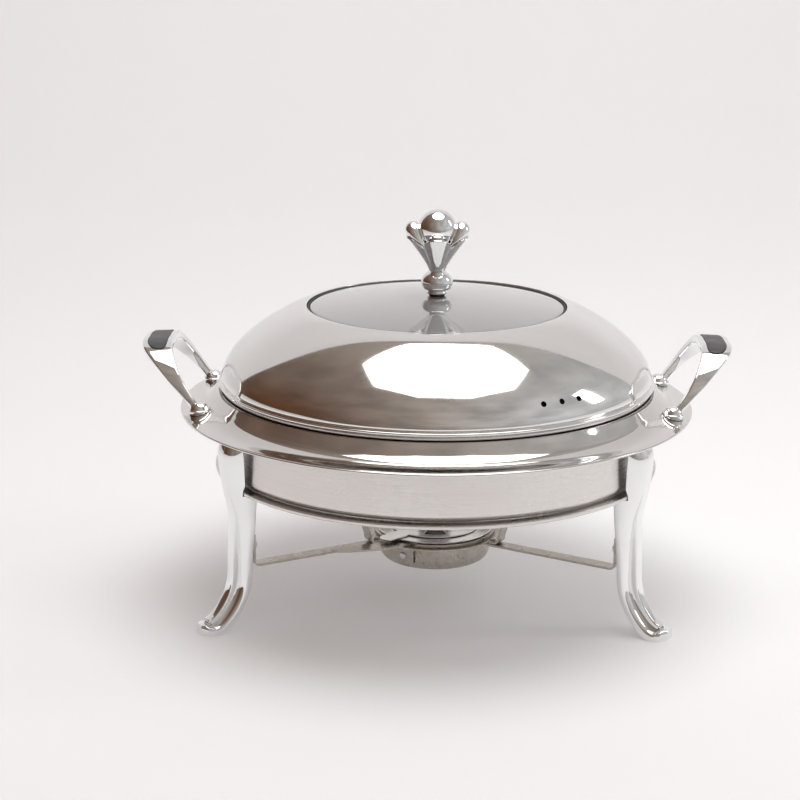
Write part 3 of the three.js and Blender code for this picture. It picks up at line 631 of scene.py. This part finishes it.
def flange_height(radius):
    points = flange_points()
    for (r0, z0), (r1, z1) in zip(points, points[1:]):
        if r0 <= radius <= r1:
            return z0 + (z1 - z0) * (radius - r0) / (r1 - r0)
    return points[0][1] if radius < points[0][0] else points[-1][1]


def build_water_pan():
    base = low("water_pan").z
    wall = 152.4
    shoulder = 154.9
    face = flange_points()
    under = [(r - 0.5, z - 1.2) for r, z in face[2:-1]]
    hem = rounded([(178.9, 140.7, 0), (180.1, 140.4, 0.5), (180.0, 141.6, 0.4), (179.2, 141.9, 0)],
                  closed=False)
    profile = rounded([(0, base, 0), (wall, base, 6), (wall, shoulder - 3.2, 2), under[0] + (0,)],
                      closed=False, steps=10)
    profile += under[1:] + hem + face[::-1][1:]
    profile += rounded([(153.6, shoulder + 0.15, 0), (wall - SHEET, shoulder - 0.2, 1.4),
                        (wall - SHEET, base + SHEET, 5),
                        (0, base + SHEET, 0)], closed=False, steps=8)
    place(turned("hot_water_pan", profile, 256, 30), "water_pan", "water_pan")


HANDLE = {"foot": 169, "spread": 15.8, "lean": 38.5, "crest_tilt": 2, "rise": 47,
          "half_span": 46, "top_half": 24}


def arch_line(count):
    half = [(HANDLE["half_span"], 0), (HANDLE["half_span"] - 0.8, 0.2), (HANDLE["half_span"] - 3.5, 0.5),
            (HANDLE["top_half"] + 9.5, 0.78), (HANDLE["top_half"], 0.94), (HANDLE["top_half"] - 11, 0.995)]
    near = [(-along, up * HANDLE["rise"]) for along, up in half]
    far = [(along, up * HANDLE["rise"]) for along, up in reversed(half)]
    return curve_points([*near, (0, HANDLE["rise"]), *far], count)


def arch_origin():
    foot = HANDLE["foot"]
    return Vector((foot * math.cos(math.radians(HANDLE["spread"])) + 2.8, 0, flange_height(foot) + 4.4))


def arch_band(name, start, end, steps, low_side, high_side, width_at, round_by):
    lean, tilt = math.radians(HANDLE["lean"]), math.radians(HANDLE["crest_tilt"])
    along = Vector((0, 1, 0))
    up_slope = Vector((math.sin(lean), 0, math.cos(lean)))
    broad = Vector((-math.cos(tilt), 0, math.sin(tilt)))
    off_crest = Vector((math.sin(tilt), 0, math.cos(tilt)))
    fine = 801
    points, tangents = arch_line(fine)
    rows = []
    for i in range(steps + 1):
        k = round((start + (end - start) * i / steps) * (fine - 1))
        point, tangent = points[k], tangents[k]
        width = width_at(i / steps, point.y / HANDLE["rise"])
        middle = arch_origin() + along * point.x + up_slope * point.y
        normal = along * -tangent.y + off_crest * tangent.x
        r = min(round_by, width * 0.45)
        outline = rounded([(-width, low_side, r), (width, low_side, r), (width, high_side, r),
                           (-width, high_side, r)], steps=5)
        rows.append([middle + broad * a + normal * b for a, b in outline])
    return lofted(name, rows, 50)


def arch_width(_, height):
    return 3.2 + 7.6 * max(0.0, height) ** 1.8


def grip_width(extra):
    return lambda share, _: 1.5 + extra + 5.4 * math.sqrt(max(0.0, 1 - abs(2 * share - 1) ** 5))


def handle_boss(name, degrees):
    foot = HANDLE["foot"]
    top = flange_height(foot)
    profile = rounded([(0, top - 6, 0), (6.8, top - 6, 0.5), (7.4, top + 2.4, 0.8), (6.5, top + 3.1, 0.5),
                       (6.1, top + 5, 2), (4.2, top + 7.2, 2.4), (0, top + 8, 0)], closed=False, steps=8)
    boss = turned(name, profile, 96, 60)
    boss.data.transform(Matrix.Translation((foot * MM, 0, 0)))
    turn_about_z(boss, degrees)
    for vertex in boss.data.vertices:
        reach = Vector((vertex.co.x, vertex.co.y)).length / MM
        floor = (flange_height(reach) + GAP) * MM
        vertex.co.z = max(vertex.co.z, floor)
    return boss


def build_handles():
    casting = arch_band("casting", 0, 1, 120, -2.8, 2.8, arch_width, 1.5)
    for degrees in (-HANDLE["spread"], HANDLE["spread"]):
        boolean(casting, handle_boss("boss", degrees), "UNION")
    recess = arch_band("recess", 0.324, 0.676, 60, 1.7, 8, grip_width(0.25), 0.3)
    boolean(casting, recess)
    grip = arch_band("grip", 0.33, 0.67, 80, 1.9, 3.35, grip_width(0), 0.6)
    for side, degrees in (("right", 0), ("left", 180)):
        arch = finish_mesh("handle_arch_" + side, casting.data.copy(), 45)
        place(turn_about_z(arch, degrees), "water_pan", "handle_" + side)
        inlay = finish_mesh("grip_inlay_" + side, grip.data.copy(), 60)
        place(turn_about_z(inlay, degrees), "water_pan", "handle_grip_" + side)
        for end in ("front", "rear"):
            node = f"handle_screw_{side}_{end}"
            spot = (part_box(node)[0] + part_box(node)[1]) / 2 / MM
            length = high(node).z - low(node).z - 2.2
            screw = fastener(f"boss_screw_{side}_{end}", 4.0, 2.0, 2.2, length,
                             Vector((spot.x, spot.y, low(node).z + 2.2)), Vector((0, 0, 1)))
            place(screw, "water_pan", node)
    bpy.data.objects.remove(casting)
    bpy.data.objects.remove(grip)


# --- Food pan --------------------------------------------------------------------------------

def build_food_pan():
    base, top = low("food_pan").z, high("food_pan").z
    rim = high("food_pan").x
    outside = rounded([(0, base, 0), (141, base, 9), (146, top - 2.6, 1.2),
                       (rim, top - 2.6, 0.9), (rim, top, 1.1),
                       (rim - 2.2, top, 0.9)], closed=False, steps=8)
    inside = rounded([(rim - 2.6, top - 1.4, 0.4), (145, top - 1.6, 1.0),
                      (140, base + 1, 8), (0, base + 1, 0)],
                     closed=False, steps=8)
    place(turned("food_pan_shell", outside + inside, 256, 35), "food_pan", "food_pan")


# --- Lid -------------------------------------------------------------------------------------

def bezier(a, b, c, d, t):
    s = 1 - t
    return a * s ** 3 + b * 3 * s * s * t + c * 3 * s * t * t + d * t ** 3


VENT_ANGLES = (-62, -56.5, -51)
VENT_HEIGHT = 174
VENT_RADIUS = 2
LEDGE = 6  # width of the ledge that carries the glass


def build_lid():
    base, crest = low("lid_dome").z, high("lid_dome").z
    rim = high("lid_dome").x
    window = high("window_gasket").x + GAP
    foot = rim - 1.9
    controls = [Vector((foot, base + 3.8)), Vector((foot - 0.6, base + 27)),
                Vector((window + 11, crest)), Vector((window, crest))]
    steps = 72
    outer = [bezier(*controls, i / steps) for i in range(steps + 1)]
    inner = []
    for i in range(2, steps):
        direction = (outer[i + 1] - outer[i - 1]).normalized()
        inner.append(outer[i] + Vector((-direction.y, direction.x)) * 1.0)
    ledge = low("window_gasket").z - GAP
    bead = rounded([(rim - 2.2, base, 0.4), (rim, base, 0.9), (rim, base + 2.2, 0.9),
                    (foot - 0.5, base + 2.5, 0.4), (outer[0].x, outer[0].y, 0)], closed=False, steps=6)
    profile = bead + [(p.x, p.y) for p in outer[1:-1]]
    profile += rounded([(outer[-1].x + 0.4, crest, 0), (window, crest, 0.4), (window, ledge, 0.3),
                        (window - LEDGE, ledge, 0.3), (window - LEDGE, ledge - 1, 0.3),
                        (window + 1, ledge - 1, 0)], closed=False)
    profile += [(p.x, p.y) for p in reversed(inner) if p.y < ledge - 1.4]
    profile += [(foot - 1.6, base + 1)]
    dome = turned("lid_shell", profile, 288, 35)
    for degrees in VENT_ANGLES:
        bpy.ops.mesh.primitive_cylinder_add(vertices=40, radius=VENT_RADIUS * MM, depth=0.04)
        drill = bpy.context.object
        drill.data.transform(Matrix.Translation((0.146, 0, VENT_HEIGHT * MM))
                             @ Euler((0, math.pi / 2 - math.radians(28), 0)).to_matrix().to_4x4())
        turn_about_z(drill, degrees)
        boolean(dome, drill)
    final = finish_mesh("lid_cover", dome.data.copy(), 35)
    bpy.data.objects.remove(dome)
    place(final, "lid", "lid_dome")

    seal_low, seal_high = low("window_gasket").z, high("window_gasket").z
    seal = rounded([(window - 5, seal_low, 0.1), (window - GAP, seal_low, 0.2),
                    (window - GAP, seal_high, 0.4),
                    (window - 2.0, seal_high, 0.3), (window - 2.0, seal_low + 0.3, 0.1),
                    (window - 5, seal_low + 0.3, 0.1)])
    place(turned("window_seal", seal, 256), "lid", "window_gasket")

    glass_high, glass_low = high("window_glass").z, low("window_glass").z
    edge, hole, thickness = high("window_glass").x, 4.5, 4.0
    rise = glass_high - glass_low - thickness

    def glass_top(radius):
        return glass_low + thickness + rise * (1 - (radius / edge) ** 2)

    radii = [hole + (edge - hole) * i / 40 for i in range(41)]
    under = [(r, glass_top(r) - thickness) for r in radii]
    over = [(r, glass_top(r)) for r in reversed(radii)]
    under[-1] = (edge - 0.5, under[-1][1])
    over[0] = (edge - 0.5, over[0][1])
    pane = under + [(edge, under[-1][1] + 0.5), (edge, over[0][1] - 0.5)] + over
    place(turned("window_pane", pane, 256, 50), "lid", "window_glass")

    for node, name in (("knob_washer_upper", "knob_seal"), ("knob_washer_lower", "knob_washer")):
        bottom, top, outer_edge = low(node).z, high(node).z, high(node).x
        shape = rounded([(3.2, bottom, 0.2), (outer_edge, bottom, 0.4),
                         (outer_edge, top, 0.4), (3.2, top, 0.2)])
        place(turned(name, shape, 96), "lid", node)
    screw_low = low("knob_screw").z
    screw = fastener("knob_bolt", 5.2, 2.4, 2.2, high("knob_screw").z - screw_low - 2.2,
                     Vector((0, 0, screw_low + 2.2)), Vector((0, 0, 1)))
    place(screw, "lid", "knob_screw")
    build_knob()


def build_knob():
    bottom, waist = low("knob_neck").z, high("knob_neck").z
    centre, ball = waist - 7.4, 11.1
    upper = [(ball * math.cos(a), centre + ball * 0.75 * math.sin(a))
             for a in [math.radians(-8 + 66 * k / 16) for k in range(17)]]
    stem = rounded([(2.8, bottom, 0), (7, bottom, 0.5), (7.2, bottom + 1.2, 0.5), (6.6, bottom + 2.2, 0.5),
                    (9.4, bottom + 3.4, 1.6), (10.5, bottom + 5.2, 0.5), (10.3, bottom + 5.5, 0.2),
                    (10.8, bottom + 5.9, 0.2), (upper[0][0], upper[0][1], 0)], closed=False, steps=6)
    neck_radius = 5.8
    profile = stem + upper[1:] + [(5.5, waist), (0, waist), (0, bottom + 14), (2.8, bottom + 13.8)]
    place(turned("knob_stem", profile, 128, 35), "lid", "knob_neck")

    lip = waist + 20.1
    start = waist + GAP

    def lip_at(angle):
        lobe = abs(math.cos(2 * angle)) ** 0.7
        return 12 + 10 * lobe, lip - 4.2 + 8.4 * lobe

    around, levels = 240, 40
    rows = []
    for k in range(levels + 1):
        t = k / levels
        outward = t ** 1.24
        row = []
        for i in range(around):
            angle = 2 * math.pi * i / around
            radius, height = lip_at(angle)
            r = neck_radius - 0.3 + (radius - neck_radius + 0.3) * outward
            row.append((r * math.cos(angle), r * math.sin(angle), start + (height - start) * t))
        rows.append(row)
    for shrink, lift in ((0.25, 0.6), (0.8, 0.95), (1.4, 0.7), (1.9, 0), (3.0, -1.6)):
        row = []
        for i in range(around):
            angle = 2 * math.pi * i / around
            radius, height = lip_at(angle)
            r = radius - shrink
            row.append((r * math.cos(angle), r * math.sin(angle), height + lift))
        rows.append(row)
    rows.append([(9 * math.cos(2 * math.pi * i / around), 9 * math.sin(2 * math.pi * i / around), lip - 1.5)
                 for i in range(around)])
    crown = lofted("crown", rows, 50)
    ball_radius = 13.5
    ball_height = high("knob_crown").z - ball_radius
    sphere = [(ball_radius * math.sin(math.radians(3 * k)),
               ball_height - ball_radius * math.cos(math.radians(3 * k))) for k in range(61)]
    sphere[0], sphere[-1] = (0, ball_height - ball_radius), (0, ball_height + ball_radius)
    boolean(crown, turned("ball", sphere, 128, 60), "UNION")
    for direction in (0, math.pi):
        boolean(crown, crown_petal(direction, lip), "UNION")
    final = finish_mesh("knob_finial", crown.data.copy(), 48)
    bpy.data.objects.remove(crown)
    place(final, "lid", "knob_crown")


def crown_petal(direction, lip):
    steps, around = 48, 40
    rows = []
    for i in range(steps + 1):
        t = i / steps
        angle = direction + math.radians(-42 + 84 * t)
        full = max(math.sin(math.pi * t), 0.0) ** 0.8
        radius, height = 12.2 + 4.6 * full, lip - 0.7 + 9.8 * full
        size = 0.6 + 5.2 * full
        row = []
        for k in range(around):
            turn = 2 * math.pi * k / around
            reach = radius + size * math.cos(turn)
            row.append((reach * math.cos(angle), reach * math.sin(angle), height + size * math.sin(turn)))
        rows.append(row)
    return lofted("petal", rows, 60)


# --- Burner ----------------------------------------------------------------------------------

TAB_ANGLE = 237


def build_burner():
    base, top = low("burner_cup").z, high("burner_cup").z
    rim, wall = high("burner_cup").x, high("burner_cup").x - 4
    rim_low = top - 1.7
    outside = rounded([(0, base, 0), (wall, base, 8), (wall, rim_low, 0.5),
                       (rim, rim_low, 0.6), (rim, top, 0.6)],
                      closed=False, steps=10)
    inside = rounded([(rim - 0.7, top, 0), (wall - 1, top, 0.6), (wall - 1, base + 1, 7), (0, base + 1, 0)],
                     closed=False, steps=10)
    cup = turned("cup", outside + inside, 192, 35)
    bpy.ops.mesh.primitive_cube_add(size=1)
    block = bpy.context.object
    block.data.transform(Matrix.Translation(((wall + 4.1) * MM, 0, (rim_low + 1) * MM))
                         @ Matrix.Diagonal((0.0077, 0.024, 0.004, 1)))
    turn_about_z(block, TAB_ANGLE)
    boolean(cup, block)
    place(finish_mesh("burner_bowl", cup.data.copy(), 35), "burner", "burner_cup")
    bpy.data.objects.remove(cup)

    pad_low, pad_high = low("burner_fuel_pad").z, high("burner_fuel_pad").z
    pad = rounded([(0, pad_low, 0), (31, pad_low, 1), (35.6, pad_low + 3, 3), (36.4, pad_low + 6.6, 2),
                   (35.6, pad_high - 0.2, 1.5), (0, pad_high, 0)], closed=False, steps=6)
    place(turned("fuel_wadding", pad, 128), "burner", "burner_fuel_pad")
    place(refined("burner_pull", "burner_handle", 0.3), "burner", "burner_handle")
    node = "burner_handle_rivet"
    spot = (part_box(node)[0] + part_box(node)[1]) / 2 / MM
    out = Vector((math.cos(math.radians(TAB_ANGLE)), math.sin(math.radians(TAB_ANGLE)), 0))
    start = out * (wall - 1 - GAP) + Vector((0, 0, spot.z))
    place(button_rivet("pull_rivet", 2.6, 1.5, 1 + GAP * 3 + 1.2, start, out), "burner", node)
    place(refined("burner_lid_plate", "burner_cover", 0.25), "burner", "burner_cover")
    node = "regulator_rivet"
    length = high(node).z - low(node).z - 2
    pin_start = Vector((0, 0, low(node).z + 1))
    place(button_rivet("regulator_pin", 4.0, 2.0, length, pin_start, Vector((0, 0, 1))), "burner", node)
    place(refined("flame_regulator", "burner_regulator", 0.25), "regulator", "burner_regulator")


# --- Stage -----------------------------------------------------------------------------------

FLOOR_FRONT = -0.95
WALL_PLACE = 2.2
WALL_HALF = 3.2
WALL_TOP = 4.0
FLOOR_REACH = 14  # radius of the floor beyond the sweep
TOP_RADIUS = 0.76  # of the overhead softbox
SIDE_PLACE = (1.9, 0.1, 1.1)
PAPER = (0.90, 0.90, 0.915)


def paper_material(name, near_glow, far_glow):
    """Pale paper with a glow that grows towards the back wall."""
    look = Look(name, PAPER, 0.9, Specular_IOR_Level=0.1)
    drift = look.noise(900, 2)
    look.tint(look.ranged(drift, 0.0, 1.0), [c * 0.985 for c in PAPER])
    split = look.node("ShaderNodeSeparateXYZ")
    look.link(look.place, split.inputs["Vector"])
    look.set("Emission Color", (*PAPER, 1))
    look.link(look.ranged(split.outputs["Y"], near_glow, far_glow, 0.5, WALL_PLACE),
              look.shader.inputs["Emission Strength"])
    return look.material


def lamp_material(name, strength):
    look = Look(name, (0.0, 0.0, 0.0), 1.0)
    look.set("Emission Color", (1, 0.99, 0.975, 1))
    look.link(look.ranged(look.noise(700, 1), strength * 0.97, strength * 1.03),
              look.shader.inputs["Emission Strength"])
    return look.material


def stage_mesh(name, points, faces, material):
    mesh = bpy.data.meshes.new(name)
    mesh.from_pydata(points, [], faces)
    mesh.materials.append(material)
    made = bpy.data.objects.new(name, mesh)
    bpy.context.scene.collection.objects.link(made)
    return made


def add_sweep():
    bend = 0.7
    section = [(FLOOR_FRONT, 0.0), (0.0, 0.0), (WALL_PLACE - bend, 0.0)]
    section += [(WALL_PLACE - bend + bend * math.sin(a), bend - bend * math.cos(a))
                for a in [math.radians(7.5 * k) for k in range(1, 13)]]
    section += [(WALL_PLACE, bend + (WALL_TOP - bend) * k / 12) for k in range(1, 13)]
    points = []
    for y, z in section:
        half = WALL_HALF * math.sqrt(max(1 - (z / WALL_TOP) ** 4, 0.0004))
        points += [(-half, y, z), (half, y, z)]
    faces = [(2 * i, 2 * i + 1, 2 * i + 3, 2 * i + 2) for i in range(len(section) - 1)]
    sweep = stage_mesh("backdrop", points, faces, paper_material("paper", 0.15, 0.30))
    sweep.data.polygons.foreach_set("use_smooth", [True] * len(faces))
    around = [math.radians(7.5 * k) for k in range(48)]
    edge = [(FLOOR_REACH * math.cos(a), FLOOR_REACH * math.sin(a), -0.001) for a in around]
    floor = stage_mesh("far_floor", edge, [tuple(range(48))], paper_material("far_paper", 0.15, 0.30))
    floor.visible_glossy = False


def add_softboxes():
    corners = [math.radians(22.5 + 45 * k) for k in range(8)]
    edge = [(0.1 + TOP_RADIUS * math.cos(a), TOP_RADIUS * math.sin(a), 1.7) for a in corners]
    top = stage_mesh("overhead_softbox", edge, [tuple(range(8))[::-1]],
                     lamp_material("overhead_light", 3.5))
    middle = Vector(SIDE_PLACE)
    facing = middle.normalized()
    side = Vector((0, 0, 1)).cross(facing).normalized()
    rise = facing.cross(side)
    panel = stage_mesh("side_softbox", [middle + side * a * 0.15 + rise * b * 0.4
                                        for a, b in ((-1, -1), (1, -1), (1, 1), (-1, 1))],
                       [(3, 2, 1, 0)], lamp_material("side_light", 5.0))
    for lamp in (top, panel):
        lamp.visible_camera = False


def add_room():
    """The room that the polished metal reflects: brown on the left, grey on the right."""
    world = bpy.data.worlds.new("studio")
    bpy.context.scene.world = world
    world.use_nodes = True
    tree = world.node_tree
    room = tree.nodes["Background"]
    coordinates = tree.nodes.new("ShaderNodeTexCoord").outputs["Generated"]
    split = tree.nodes.new("ShaderNodeSeparateXYZ")
    tree.links.new(coordinates, split.inputs["Vector"])
    across = tree.nodes.new("ShaderNodeMapRange")
    across.inputs["From Min"].default_value = -1
    tree.links.new(split.outputs["X"], across.inputs["Value"])
    ramp = tree.nodes.new("ShaderNodeValToRGB")
    stops = ramp.color_ramp.elements
    stops[0].position, stops[0].color = 0.0, (0.10, 0.045, 0.022, 1)
    stops[1].position, stops[1].color = 1.0, (0.58, 0.58, 0.58, 1)
    stops.new(0.5).color = (0.36, 0.315, 0.28, 1)
    tree.links.new(across.outputs["Result"], ramp.inputs["Fac"])
    streaks = tree.nodes.new("ShaderNodeTexNoise")
    streaks.inputs["Scale"].default_value = 2.6
    streaks.inputs["Detail"].default_value = 4
    tree.links.new(coordinates, streaks.inputs["Vector"])
    shade = tree.nodes.new("ShaderNodeMapRange")
    shade.inputs["From Min"].default_value = 0.35
    shade.inputs["From Max"].default_value = 0.65
    shade.inputs["To Min"].default_value = 0.8
    shade.inputs["To Max"].default_value = 1.2
    tree.links.new(streaks.outputs["Fac"], shade.inputs["Value"])
    horizon = tree.nodes.new("ShaderNodeMapRange")
    horizon.inputs["From Min"].default_value = -0.4
    horizon.inputs["From Max"].default_value = 0.05
    horizon.inputs["To Min"].default_value = 0.4
    tree.links.new(split.outputs["Z"], horizon.inputs["Value"])
    strength = tree.nodes.new("ShaderNodeMath")
    strength.operation = "MULTIPLY"
    tree.links.new(shade.outputs["Result"], strength.inputs[0])
    tree.links.new(horizon.outputs["Result"], strength.inputs[1])
    tree.links.new(ramp.outputs["Color"], room.inputs["Color"])
    tree.links.new(strength.outputs[0], room.inputs["Strength"])
    pale = tree.nodes.new("ShaderNodeBackground")
    pale.inputs["Color"].default_value = (0.88, 0.87, 0.88, 1)
    path = tree.nodes.new("ShaderNodeLightPath")
    mix = tree.nodes.new("ShaderNodeMixShader")
    tree.links.new(path.outputs["Is Camera Ray"], mix.inputs["Fac"])
    tree.links.new(room.outputs["Background"], mix.inputs[1])
    tree.links.new(pale.outputs["Background"], mix.inputs[2])
    tree.links.new(mix.outputs["Shader"], tree.nodes["World Output"].inputs["Surface"])


def add_stage():
    add_sweep()
    add_softboxes()
    add_room()
    bpy.context.scene.view_settings.view_transform = "Standard"


add_camera()
add_stage()
build_stand()
build_water_pan()
build_handles()
build_food_pan()
build_lid()
build_burner()
